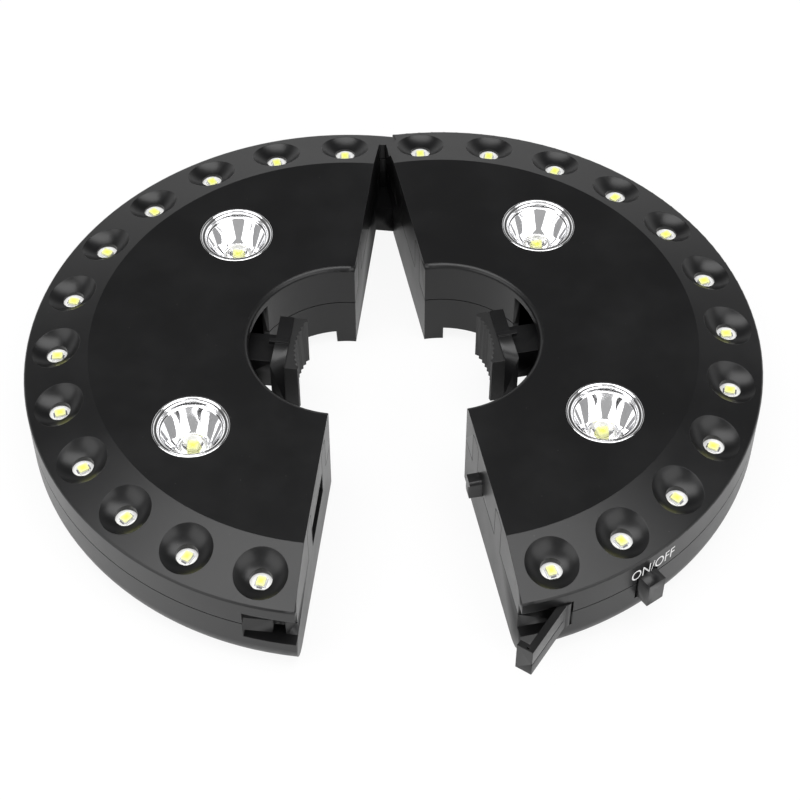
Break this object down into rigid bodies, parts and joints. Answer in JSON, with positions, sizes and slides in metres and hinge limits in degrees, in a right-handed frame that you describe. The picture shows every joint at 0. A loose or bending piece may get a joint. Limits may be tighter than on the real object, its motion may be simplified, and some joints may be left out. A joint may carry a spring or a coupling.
{
  "type": "umbrella light",
  "caption": "Round clip-on patio umbrella light in two hinged halves, with ringed lamps in cups, reflector spotlights, sprung pole jaws and a latch.",
  "frame": {"origin": "centre of the left half's disc, on the underside", "axes": "+Z out of the lit face, +Y towards the hinge, -X from the mating face into the left half"},
  "size_m": [0.245, 0.2197, 0.037],
  "materials": {
    "housing": "satin, fine texture",
    "dark_plastic": "satin",
    "inner_plastic": "plain",
    "pad": "ribbed",
    "reflector": "bright",
    "lamp": "phosphor",
    "clear_lamp": "clear",
    "white_board": "white solder mask",
    "green_board": "green solder mask",
    "steel": "plain",
    "battery": "plain sleeve",
    "lead": "insulation"
  },
  "bodies": {
    "left_half": {"left_front_cover": "housing", "left_rear_cover": "housing", "left_led_board": "white_board", "left_ring_leds": "lamp", "left_spot_boards": "white_board", "left_spot_leds": "clear_lamp", "left_reflectors": "reflector", "left_jaw_guide": "inner_plastic", "left_jaw_spring": "steel", "left_battery_tray": "inner_plastic", "left_batteries": "battery", "left_battery_contacts": "steel", "left_cover_screws": "steel", "left_leads": "lead", "hinge_pin": "steel"},
    "right_half": {"right_front_cover": "housing", "right_rear_cover": "housing", "right_led_board": "white_board", "right_ring_leds": "lamp", "right_spot_boards": "white_board", "right_spot_leds": "clear_lamp", "right_reflectors": "reflector", "right_jaw_guide": "inner_plastic", "right_jaw_spring": "steel", "right_battery_tray": "inner_plastic", "right_batteries": "battery", "right_battery_contacts": "steel", "right_cover_screws": "steel", "right_leads": "lead", "latch_pin": "steel", "alignment_peg": "dark_plastic", "switch_body": "inner_plastic", "control_board": "green_board"},
    "latch": {"latch_lever": "dark_plastic"},
    "left_jaw": {"left_jaw": "dark_plastic", "left_jaw_pad": "pad"},
    "right_jaw": {"right_jaw": "dark_plastic", "right_jaw_pad": "pad"},
    "switch": {"switch_button": "dark_plastic"},
    "left_door": {"left_battery_door": "housing"},
    "right_door": {"right_battery_door": "housing"},
    "left_hook": {"left_hook": "dark_plastic"},
    "right_hook": {"right_hook": "dark_plastic"}
  },
  "joints": [
    {"name": "halves_hinge", "type": "hinge", "parent": "left_half", "child": "right_half", "pos_m": [0, 0.1034, 0.018], "axis": [0, 0, 1], "range_deg": [-18.6, 41.4]},
    {"name": "latch_swing", "type": "hinge", "parent": "right_half", "child": "latch", "pos_m": [0.08019, -0.08805, 0.0196], "axis": [0, 0, 1], "range_deg": [-43, 20]},
    {"name": "left_jaw_slide", "type": "slide", "parent": "left_half", "child": "left_jaw", "axis": [-1, 0, 0], "range_m": [0, 0.009], "stiffness_N_per_m": 400, "springref_m": -0.005, "deforming": ["left_jaw_spring"]},
    {"name": "right_jaw_slide", "type": "slide", "parent": "right_half", "child": "right_jaw", "axis": [0.9478, 0.319, 0], "range_m": [0, 0.009], "stiffness_N_per_m": 400, "springref_m": -0.005, "deforming": ["right_jaw_spring"]},
    {"name": "switch_press", "type": "slide", "parent": "right_half", "child": "switch", "axis": [-0.6769, 0.7361, 0], "range_m": [0, 0.0018], "stiffness_N_per_m": 400, "springref_m": -0.0005},
    {"name": "left_door_off", "type": "slide", "parent": "left_half", "child": "left_door", "axis": [0, 0, -1], "range_m": [0, 0.015]},
    {"name": "right_door_off", "type": "slide", "parent": "right_half", "child": "right_door", "axis": [0, 0, -1], "range_m": [0, 0.015]},
    {"name": "left_hook_swing", "type": "hinge", "parent": "left_half", "child": "left_hook", "pos_m": [-0.0556, 0.017, 0.0026], "axis": [1, 0, 0], "range_deg": [0, 95]},
    {"name": "right_hook_swing", "type": "hinge", "parent": "right_half", "child": "right_hook", "pos_m": [0.08025, 0.03925, 0.0026], "axis": [0.9478, 0.319, 0], "range_deg": [0, 95]}
  ]
}
